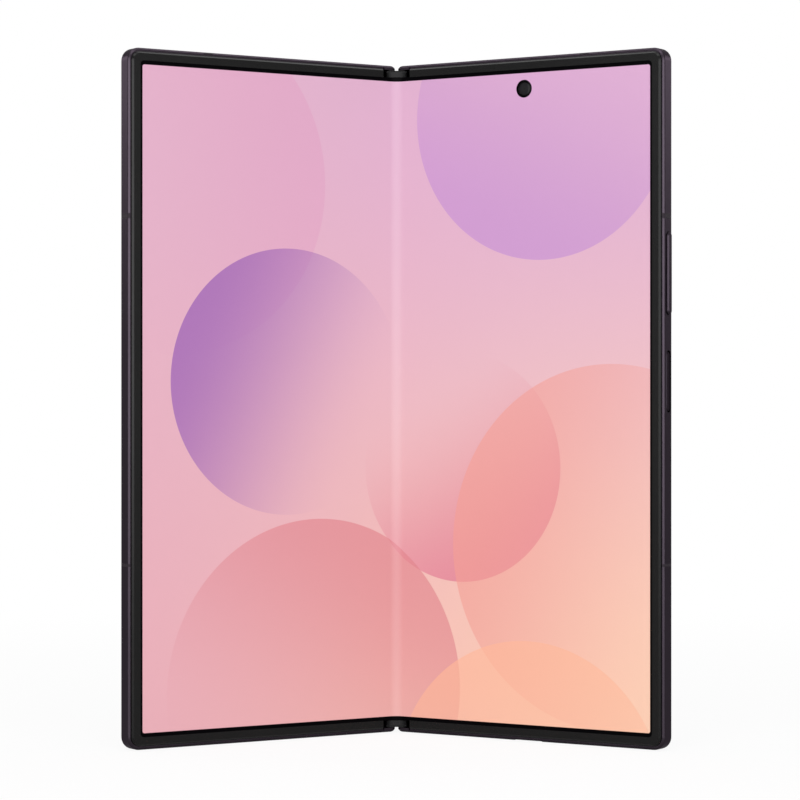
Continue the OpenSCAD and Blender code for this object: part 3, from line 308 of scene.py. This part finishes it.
# Colours of the lenses: share of the radius, colour
LENS_BANDS = [
    (0.0, (0.012, 0.010, 0.028, 1.0)),
    (0.18, (0.010, 0.012, 0.034, 1.0)), (0.30, (0.004, 0.005, 0.010, 1.0)),
    (0.44, (0.014, 0.015, 0.017, 1.0)), (0.46, (0.003, 0.003, 0.004, 1.0)),
    (0.56, (0.018, 0.018, 0.019, 1.0)), (0.60, (0.003, 0.003, 0.004, 1.0)),
    (0.72, (0.012, 0.012, 0.013, 1.0)), (0.75, (0.002, 0.002, 0.003, 1.0)),
    (1.0, (0.002, 0.002, 0.003, 1.0)),
]
FRONT_BANDS = [
    (0.0, srgb(29, 29, 30)), (0.2, srgb(33, 33, 33)), (0.5, srgb(30, 29, 32)),
    (0.74, srgb(28, 28, 28)), (0.82, srgb(3, 2, 4)), (1.0, srgb(2, 2, 2)),
]


def lens_rings(name, bands, **values):
    """Camera lens behind its window: rings of colour, from the middle to the rim."""
    made = Shader(name, IOR=1.5, Roughness=0.08, **values)
    spot = made.node("UVMap", uv_map=RING_MAP).outputs[0]
    ramp = made.node("ValToRGB", made.node("SeparateXYZ", spot).outputs[0])
    stops = ramp.color_ramp.elements
    stops[0].color = bands[0][1]
    stops[1].color = bands[-1][1]
    for place, colour in bands[1:-1]:
        stops.new(place).color = colour
    made.colour(ramp.outputs[0])
    return made.material


# The picture: soft discs that fade across, over a slow gradient. Places and radii are in
# metres from the screen's middle; each disc fades from its full edge towards a direction.
PICTURE_TOP = (srgb(223, 178, 200), srgb(218, 173, 206))
PICTURE_FOOT = (srgb(230, 175, 184), srgb(248, 206, 180))
DISCS = [
    # centre x, centre z, radius, direction the disc is fullest in (degrees), colour, strength
    (-0.060, 0.050, 0.040, 20, srgb(221, 160, 192), 0.5),
    (0.040, 0.066, 0.034, 250, srgb(196, 146, 206), 0.75),
    (-0.030, 0.004, 0.031, 155, srgb(164, 110, 180), 0.9),
    (0.018, -0.016, 0.027, 300, srgb(222, 132, 152), 0.85),
    (0.058, -0.034, 0.042, 160, srgb(236, 158, 148), 0.65),
    (-0.022, -0.068, 0.040, 60, srgb(220, 134, 142), 0.7),
    (0.036, -0.092, 0.036, 100, srgb(248, 184, 154), 0.65),
]
DISC_EDGE = 0.00012
DISC_FADE = 0.8                 # a disc has faded out this share of its radius past its middle
SCREEN_MAP = "screen"
SCREEN_BLACK = (0.0015, 0.0012, 0.0018, 1.0)
SCREEN_EDGE = 0.00003
SCREEN_GLOW = 0.48
SCREEN_WHITE = 0.45             # how much of the picture's colour daylight brings out
# share of white mixed into the screen's colour along the fold, as a painted sheen
PAINTED_CREASE_SHEEN = 0.05
BLACK, WHITE = (0.0, 0.0, 0.0, 1.0), (1.0, 1.0, 1.0, 1.0)


def picture_place(made):
    """Place on the lit picture, in metres from its middle."""
    spot = made.node("UVMap", uv_map=SCREEN_MAP).outputs[0]
    from_middle = made.vector("SUBTRACT", spot, (0.5, 0.5, 0.0))
    return made.vector("MULTIPLY", from_middle, (2 * HALF_W, BODY_H, 0.0))


def picture(made, spot):
    """Gradient from pink and lilac to peach, with the discs over it."""
    parts = made.node("SeparateXYZ", spot)
    across = made.step(parts.outputs[0], -HALF_W, HALF_W)
    up = made.step(parts.outputs[1], -BODY_H / 2, BODY_H / 2)
    colour = made.mix(up, made.mix(across, *PICTURE_FOOT), made.mix(across, *PICTURE_TOP))
    for x, z, radius, angle, tint, strength in DISCS:
        off = made.vector("SUBTRACT", spot, (x, z, 0.0))
        inside = made.step(made.vector("LENGTH", off), radius, radius - DISC_EDGE)
        heading = math.radians(angle)
        along = made.vector("DOT_PRODUCT", off, (math.cos(heading), math.sin(heading), 0.0))
        full = made.step(along, -radius * DISC_FADE, radius)
        share = made.math("MULTIPLY", made.math("MULTIPLY", inside, full), strength)
        colour = made.mix(share, colour, tint)
    return colour


def lit_share(made, spot):
    """1 on the lit picture, 0 on the black border and round the camera opening."""
    corner = (HALF_W - LIT_IN[0] - LIT_R, BODY_H / 2 - LIT_IN[1] - LIT_R, 0.0)
    past = made.vector("SUBTRACT", made.vector("ABSOLUTE", spot), corner)
    outside = made.vector("LENGTH", made.vector("MAXIMUM", past, (0.0, 0.0, 0.0)))
    inside = made.step(outside, LIT_R + SCREEN_EDGE, LIT_R - SCREEN_EDGE)
    from_hole = made.vector("DISTANCE", spot, (PUNCH[0], PUNCH[1] - BODY_H / 2, 0.0))
    clear = made.step(from_hole, DARK_R - SCREEN_EDGE, DARK_R + SCREEN_EDGE)
    return made.math("MULTIPLY", inside, clear)


def painted_crease_sheen(made, spot):
    """Share of white painted along the fold: a painted sheen where the bent film would catch the light."""
    from_fold = made.math("ABSOLUTE", made.node("SeparateXYZ", spot).outputs[0])
    return made.math("MULTIPLY", made.step(from_fold, CREASE_W, 0.0), PAINTED_CREASE_SHEEN)


def screen_material():
    """Lit flexible screen: the picture inside a black border, under a clear soft film, with a painted sheen of
    white along the fold.
    """
    made = Shader("screen", Specular_IOR_Level=0.02, IOR=1.5, Emission_Strength=SCREEN_GLOW)
    spot = picture_place(made)
    # painted sheen: white mixed into the picture along the fold
    colour = made.mix(painted_crease_sheen(made, spot), picture(made, spot), WHITE)
    colour = made.mix(lit_share(made, spot), SCREEN_BLACK, colour)
    made.colour(made.mix(SCREEN_WHITE, BLACK, colour))
    made.feed(made.surface.inputs["Emission Color"], colour)
    made.roughness(made.ramp(made.noise(scale=800, detail=2), 0.28, 0.34))
    return made.material


def make_materials():
    """The materials of the record's slots and of the scene's own pieces, by name."""
    metal = srgb(62, 55, 63)
    return {
        "anodised_frame": anodised("anodised_frame", metal, 0.34),
        "key_cap": anodised("key_cap", srgb(47, 41, 48), 0.3),
        "antenna_plastic": plastic("antenna_plastic", srgb(46, 40, 46), 0.4, specular=0.05),
        "bezel_plastic": plastic("bezel_plastic", srgb(18, 18, 18), 0.24, specular=0.2),
        "inner_screen": screen_material(),
        "display_steel": machined("display_steel", srgb(120, 120, 124), 0.4),
        "spine_metal": anodised("spine_metal", metal, 0.32),
        "end_cap_plastic": plastic("end_cap_plastic", srgb(21, 21, 22), 0.42, specular=0.17),
        "hinge_steel": machined("hinge_steel", srgb(150, 150, 154), 0.3),
        "pin_steel": machined("pin_steel", srgb(190, 190, 194), 0.2),
        "spring_steel": machined("spring_steel", srgb(160, 150, 128), 0.28, (12, 12, 1)),
        "gear_brass": machined("gear_brass", srgb(205, 178, 110), 0.28),
        "polyimide": plastic("polyimide", srgb(170, 100, 30), 0.3),
        "back_glass": coated_glass("back_glass", srgb(58, 51, 60), 0.36),
        "cover_glass": cover_glass(),
        "cover_panel": plastic("cover_panel", srgb(12, 12, 13), 0.3),
        "camera_metal": anodised("camera_metal", srgb(78, 70, 79), 0.28),
        "lens_glass": coated_glass("lens_glass", srgb(9, 9, 14), 0.04, coat=0.2, specular=0.15),
        "lens_rings": lens_rings("lens_rings", LENS_BANDS, Specular_IOR_Level=0.2, Coat_Weight=0.1,
                                 Coat_Roughness=0.02),
        "front_lens": lens_rings("front_lens", FRONT_BANDS, Specular_IOR_Level=0.1),
        "lattice": lattice(),
        "camera_body": plastic("camera_body", srgb(24, 24, 26), 0.5),
        "flash_plastic": plastic("flash_plastic", srgb(238, 232, 205), 0.25),
        "board": plastic("board", srgb(20, 74, 58), 0.35),
        "shield_steel": machined("shield_steel", srgb(180, 180, 184), 0.3),
        "pouch": plastic("pouch", srgb(46, 46, 50), 0.4),
        "copper": machined("copper", srgb(200, 120, 70), 0.35),
        "speaker_plastic": plastic("speaker_plastic", srgb(26, 26, 27), 0.5),
        "switch_metal": machined("switch_metal", srgb(214, 180, 90), 0.25),
        "magnet": machined("magnet", srgb(150, 150, 154), 0.3),
        "card_plastic": plastic("card_plastic", srgb(236, 236, 232), 0.4),
    }


def dress_nodes(materials):
    """Gives every CAD node the material of its slot."""
    for part in frame["record"]["subparts"]:
        mesh = NODES[part["node"]].data
        mesh.materials.clear()
        mesh.materials.append(materials[part["material_slot"]])


# ------------------------------------------------------------------ meshes

SHARP_ANGLE = math.radians(35)


def finish_mesh(bm, name):
    """Mesh with outward normals, smooth but for its sharp edges."""
    bmesh.ops.recalc_face_normals(bm, faces=bm.faces)
    for face in bm.faces:
        face.smooth = True
    for edge in bm.edges:
        if len(edge.link_faces) == 2 and edge.calc_face_angle() > SHARP_ANGLE:
            edge.smooth = False
    mesh = bpy.data.meshes.new(name)
    bm.to_mesh(mesh)
    bm.free()
    return mesh


def add_piece(name, mesh, material):
    """Object of a mesh, in the scene, with its material."""
    made = bpy.data.objects.new(name, mesh)
    bpy.context.scene.collection.objects.link(made)
    mesh.materials.append(material)
    return made


# ------------------------------------------------------------------ bending screen

CORNER_STEPS = 8
HOLE_STEPS = 64


def corner_points(x, z, first):
    """Quarter circle about the centre of a screen corner, starting at an angle in degrees."""
    for i in range(CORNER_STEPS + 1):
        angle = math.radians(first + 90 * i / CORNER_STEPS)
        yield x + PANEL_R * math.cos(angle), z + PANEL_R * math.sin(angle)


def flat_outline():
    """Outline of the flat part of the screen in (u, z), anticlockwise from its lower inner end."""
    edge, low, high = HALF_W - PANEL_IN, PANEL_IN, BODY_H - PANEL_IN
    points = [(BEND_U, low)]
    points += corner_points(edge - PANEL_R, low + PANEL_R, 270)
    points += corner_points(edge - PANEL_R, high - PANEL_R, 0)
    points.append((BEND_U, high))
    return points


def hole_outline():
    """Outline of the camera opening in (u, z)."""
    angles = [2 * math.pi * i / HOLE_STEPS for i in range(HOLE_STEPS)]
    return [(PUNCH[0] + PUNCH_R * math.cos(angle), PUNCH[1] + PUNCH_R * math.sin(angle))
            for angle in angles]


def add_loop(bm, points):
    """Closed loop of vertices and edges from (u, z) points, drawn flat."""
    verts = [bm.verts.new((u, z, 0.0)) for u, z in points]
    edges = [bm.edges.new((a, b)) for a, b in zip(verts, verts[1:] + verts[:1])]
    return verts, edges


def add_bend(bm, low, high):
    """Tall strips from the lower and upper inner ends of the flat part to the fold line."""
    for i in range(BEND_STEPS - 1, -1, -1):
        u = BEND_U * i / BEND_STEPS
        next_low = bm.verts.new((u, PANEL_IN, 0.0))
        next_high = bm.verts.new((u, BODY_H - PANEL_IN, 0.0))
        bm.faces.new((next_low, low, high, next_high))
        low, high = next_low, next_high


def add_back(bm):
    """Doubles a flat sheet, closes it along its rims and returns the vertices of its back."""
    double = bmesh.ops.duplicate(bm, geom=bm.verts[:] + bm.edges[:] + bm.faces[:])
    pair = double["vert_map"]
    back_faces = [item for item in double["geom"] if isinstance(item, bmesh.types.BMFace)]
    bmesh.ops.reverse_faces(bm, faces=back_faces)
    back_verts = {vert for face in back_faces for vert in face.verts}
    rims = [edge for edge in bm.edges if len(edge.link_faces) == 1 and edge.verts[0] not in back_verts]
    for edge in rims:
        loop = edge.link_loops[0]
        a, b = loop.vert, loop.link_loop_next.vert
        bm.faces.new((b, a, pair[a], pair[b]))
    return back_verts


def map_picture(bm, side):
    """Texture map of a sheet that still lies flat: the whole screen fills it from 0 to 1."""
    layer = bm.loops.layers.uv.new(SCREEN_MAP)
    for face in bm.faces:
        for loop in face.loops:
            u, z = loop.vert.co.xy
            loop[layer].uv = (0.5 + side * u / (2 * HALF_W), z / BODY_H)


def screen_mesh(name, side):
    """Closed sheet of one half's screen with its part of the bend, as a mesh in place."""
    bm = bmesh.new()
    outer, edges = add_loop(bm, flat_outline())
    if side == RIGHT:
        edges += add_loop(bm, hole_outline())[1]
    bmesh.ops.triangle_fill(bm, use_beauty=True, use_dissolve=False, edges=edges)
    add_bend(bm, outer[0], outer[-1])
    bmesh.ops.recalc_face_normals(bm, faces=bm.faces)
    if bm.faces[0].normal.z < 0:
        bmesh.ops.reverse_faces(bm, faces=bm.faces)
    back_verts = add_back(bm)
    map_picture(bm, side)
    for vert in bm.verts:
        u, z = vert.co.xy
        vert.co = on_sheet(u, z, PANEL_T if vert in back_verts else 0.0, side)
    return finish_mesh(bm, name)


def bend_with_fold(piece):
    """Bakes the sheet's placement into its mesh, which keeps the shape it was built in."""
    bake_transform(piece)


def make_screen(materials):
    """The flexible screen in two pieces that meet on the fold line."""
    for side in (RIGHT, LEFT):
        name = "screen_" + SIDE_NAMES[side]
        piece = add_piece(name, screen_mesh(name, side), materials["inner_screen"])
        bend_with_fold(piece)
        nodes = [SIDE_NAMES[side] + "_inner_display"] + (["inner_display_fold"] if side == RIGHT else [])
        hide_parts(*nodes)


# ------------------------------------------------------------------ lattice and flexible circuit


def strip_mesh(name, side, line, z0, z1):
    """Closed strip along z over a line of (front, back) point pairs in (x, y), mirrored by side."""
    bm = bmesh.new()
    rings = []
    for front, back in line:
        section = ((front, z0), (front, z1), (back, z1), (back, z0))
        rings.append([bm.verts.new((side * x, y, z)) for (x, y), z in section])
    for a, b in zip(rings, rings[1:]):
        for i in range(4):
            j = (i + 1) % 4
            bm.faces.new((a[i], a[j], b[j], b[i]))
    bm.faces.new(rings[0])
    bm.faces.new(rings[-1])
    return finish_mesh(bm, name)


def make_lattice(materials):
    """The bending lattice behind the screen, in two pieces."""
    line = []
    for i in range(BEND_STEPS + 1):
        u = BEND_U * i / BEND_STEPS
        faces = [on_sheet(u, 0.0, depth, RIGHT) for depth in (PANEL_T, PANEL_T + PLATE_T)]
        line.append([tuple(point.xy) for point in faces])
    for side in (RIGHT, LEFT):
        name = "lattice_" + SIDE_NAMES[side]
        mesh = strip_mesh(name, side, line, PANEL_IN, BODY_H - PANEL_IN)
        piece = add_piece(name, mesh, materials["lattice"])
        bend_with_fold(piece)
        if side == RIGHT:
            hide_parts("fold_lattice")


def flex_line(end):
    """Front and back of the circuit from the fold line to its end, bowed back, and its tail."""
    bow = math.tan(FOLD) / 2 / end.x
    across = FLEX_T / math.cos(FOLD)
    line = []
    for i in range(FLEX_STEPS + 1):
        x = end.x * i / FLEX_STEPS
        back = end.y + across + bow * (end.x ** 2 - x ** 2)
        line.append([(x, back - across), (x, back)])
    tail = [on_half(FLEX_U + FLEX_TAIL, v, 0.0, RIGHT) for v in (FLEX_V, FLEX_V + FLEX_T)]
    line.append([tuple(point.xy) for point in tail])
    return line


def make_flex(materials):
    """The flexible circuit across the spine, in two pieces."""
    end = on_half(FLEX_U, FLEX_V, 0.0, RIGHT)
    for side in (RIGHT, LEFT):
        name = "flex_" + SIDE_NAMES[side]
        mesh = strip_mesh(name, side, flex_line(end), *FLEX_Z)
        piece = add_piece(name, mesh, materials["polyimide"])
        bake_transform(piece)
        if side == RIGHT:
            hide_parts("fold_flex_cable")


# ------------------------------------------------------------------ lenses

TURNS = 64

# Radius and depth behind the bezel's front, from one end of the axis to the other
WINDOW_PROFILE = [
    (0.0, 0.00521), (0.00498, 0.00521), (0.00498, 0.0064), (0.00494, 0.00645), (0.0038, 0.00645),
    (0.0037, 0.00632), (0.00298, 0.0063), (0.0028, 0.0061), (0.00225, 0.00605), (0.0022, 0.006),
    (0.0019, 0.00607), (0.0015, 0.00613), (0.001, 0.00618), (0.0005, 0.00621), (0.0, 0.00622),
]
FRONT_LENS_PROFILE = [
    (0.0, 0.00058), (0.00184, 0.00058), (0.00184, 0.00042), (0.0018, 0.0004), (0.0016, 0.0004),
    (0.00152, 0.0005), (0.0014, 0.00048), (0.0011, 0.00044), (0.0006, 0.0004), (0.0, 0.00039),
]


def lathe_mesh(name, profile, u, z):
    """Closed turned form about an axis through the right half, from its profile's points."""
    bm = bmesh.new()
    layer = bm.loops.layers.uv.new(RING_MAP)
    widest = max(r for r, _ in profile)
    rings = []
    for r, v in profile:
        ring = []
        for i in range(TURNS if r else 1):
            angle = 2 * math.pi * i / TURNS
            point = on_half(u + r * math.cos(angle), v, z + r * math.sin(angle), RIGHT)
            ring.append(bm.verts.new(point))
        rings.append((ring, r / widest))
    for (a, share_a), (b, share_b) in zip(rings, rings[1:]):
        for i in range(TURNS):
            j = i + 1
            corners = [(a[i % len(a)], share_a), (a[j % len(a)], share_a),
                       (b[j % len(b)], share_b), (b[i % len(b)], share_b)]
            shares = dict(corners)
            face = bm.faces.new(list(shares))
            for loop in face.loops:
                loop[layer].uv = (shares[loop.vert], 0.5)
    return finish_mesh(bm, name)


def make_lens(name, profile, u, z, material):
    """One turned lens on the right half."""
    piece = add_piece(name, lathe_mesh(name, profile, u, z), material)
    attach(piece, "right_half")
    return piece


def make_lenses(materials):
    """Stepped windows of the rear cameras, and the front camera's lens."""
    for i, z in enumerate(CAM_Z):
        name = "camera_window_%d" % (i + 1)
        piece = make_lens(name, WINDOW_PROFILE, CAM_X, z, materials["lens_rings"])
        if i == 0:
            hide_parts("camera_windows")
    make_lens("front_lens", FRONT_LENS_PROFILE, *PUNCH, materials["front_lens"])


# ------------------------------------------------------------------ studio

FLOOR_R = 3.0
FLOOR_SIDES = 96
FLOOR_GAP = 0.00005             # keeps the floor clear of the edges that stand on it
FLOOR_WHITE = 0.9               # share of plain white in what the camera sees of the floor
FLOOR_FADE = (0.1, 0.45)        # from here to here the share of white grows to full
WORLD_LEVEL = 0.14
GLOSSY_LEVEL = 0.43             # level of the world and the floor in reflections
WORLD_SEEN = [("Is Glossy Ray", GLOSSY_LEVEL), ("Is Transmission Ray", 1.0), ("Is Camera Ray", 1.0)]

# Soft boxes that shine at the phone's middle: name, place, width, height, radiance
LAMPS = [
    ("front", (-0.06, -1.0, 0.21), 1.5, 0.5, 4.0),
    ("front_top", (0.0, -0.52, 0.98), 0.9, 0.5, 2.6),
    ("side_left", (-0.74, -0.72, 0.25), 0.2, 0.5, 2.4),
    ("side_right", (0.74, -0.72, 0.25), 0.2, 0.5, 2.4),
    ("top", (0.0, 0.25, 1.1), 1.4, 0.8, 1.8),
    ("back_left", (-0.84, 0.4, 0.36), 0.42, 0.26, 2.6),
    ("back_right", (0.84, 0.4, 0.36), 0.42, 0.26, 2.6),
]

# Camera: level, in front of the fold, at the photograph's distance
CAMERA_FROM_FOLD = 0.68942
CAMERA_SHIFT = (0.00083, -0.000266)
LENS = 130.53
SENSOR_WIDTH = 36.0
CLIP_START = 0.01


def white_to_view(made, shader, share):
    """Mixes in white for camera and transmission rays, and the level of reflections for glossy ones."""
    path = made.node("LightPath")
    glossy = path.outputs["Is Glossy Ray"]
    seen = made.math("ADD", path.outputs["Is Camera Ray"], path.outputs["Is Transmission Ray"], clamp=True)
    seen = made.math("ADD", seen, glossy, clamp=True)
    glow = made.node("Emission", WHITE, made.ramp(glossy, 1.0, GLOSSY_LEVEL))
    mixed = made.node("MixShader", made.math("MULTIPLY", seen, share), shader, glow.outputs[0])
    made.feed(made.tree.nodes["Material Output"].inputs["Surface"], mixed.outputs[0])


def make_floor():
    """Pale floor that shows as white, with a faint shadow."""
    bpy.ops.mesh.primitive_circle_add(vertices=FLOOR_SIDES, radius=FLOOR_R, fill_type="NGON",
                                      location=(0.0, 0.0, -FLOOR_GAP))
    floor = bpy.context.object
    floor.name = "floor"
    made = Shader("floor", Roughness=0.9, Base_Color=(0.88, 0.88, 0.88, 1.0))
    far = made.step(made.vector("LENGTH", made.place()), *FLOOR_FADE)
    white_to_view(made, made.surface.outputs[0], made.ramp(far, FLOOR_WHITE, 1.0))
    floor.data.materials.append(made.material)


def make_world():
    """Even studio light, softer in reflections than to the eye, with plain white behind the object."""
    world = bpy.data.worlds.new("studio")
    bpy.context.scene.world = world
    world.use_nodes = True
    tree = world.node_tree
    surface = tree.nodes["Background"]
    surface.inputs["Color"].default_value = WHITE
    surface.inputs["Strength"].default_value = WORLD_LEVEL
    path = tree.nodes.new("ShaderNodeLightPath")
    shader = surface.outputs[0]
    for ray, level in WORLD_SEEN:
        light = tree.nodes.new("ShaderNodeBackground")
        light.inputs["Color"].default_value = WHITE
        light.inputs["Strength"].default_value = level
        mix = tree.nodes.new("ShaderNodeMixShader")
        tree.links.new(path.outputs[ray], mix.inputs[0])
        tree.links.new(shader, mix.inputs[1])
        tree.links.new(light.outputs[0], mix.inputs[2])
        shader = mix.outputs[0]
    tree.links.new(shader, tree.nodes["World Output"].inputs["Surface"])


def add_aimed(name, data, place, target):
    """Lamp at a place, turned towards a target."""
    made = bpy.data.objects.new(name, data)
    bpy.context.scene.collection.objects.link(made)
    made.location = place
    made.rotation_euler = (Vector(target) - Vector(place)).to_track_quat("-Z", "Y").to_euler()
    return made


def make_lights():
    """The soft boxes, which the camera itself doesn't see."""
    middle = (0.0, 0.0, BODY_H / 2)
    for name, place, width, height, radiance in LAMPS:
        lamp = bpy.data.lights.new(name, "AREA")
        lamp.shape = "RECTANGLE"
        lamp.size, lamp.size_y = width, height
        lamp.energy = radiance * math.pi * width * height
        add_aimed(name, lamp, place, middle).visible_camera = False


def make_camera():
    """The photograph's camera."""
    lens = bpy.data.cameras.new("camera")
    lens.lens = LENS
    lens.sensor_width = SENSOR_WIDTH
    lens.clip_start = CLIP_START
    made = bpy.data.objects.new("camera", lens)
    bpy.context.scene.collection.objects.link(made)
    fold_y = AXIS.y - AXIS_DEPTH
    made.location = (CAMERA_SHIFT[0], fold_y - CAMERA_FROM_FOLD, BODY_H / 2 + CAMERA_SHIFT[1])
    made.rotation_euler = (math.radians(90), 0.0, 0.0)
    bpy.context.scene.camera = made


bpy.context.scene.view_settings.view_transform = "Standard"
make_camera()
make_world()
make_floor()
make_lights()
MATERIALS = make_materials()
dress_nodes(MATERIALS)
make_screen(MATERIALS)
make_lattice(MATERIALS)
make_flex(MATERIALS)
make_lenses(MATERIALS)
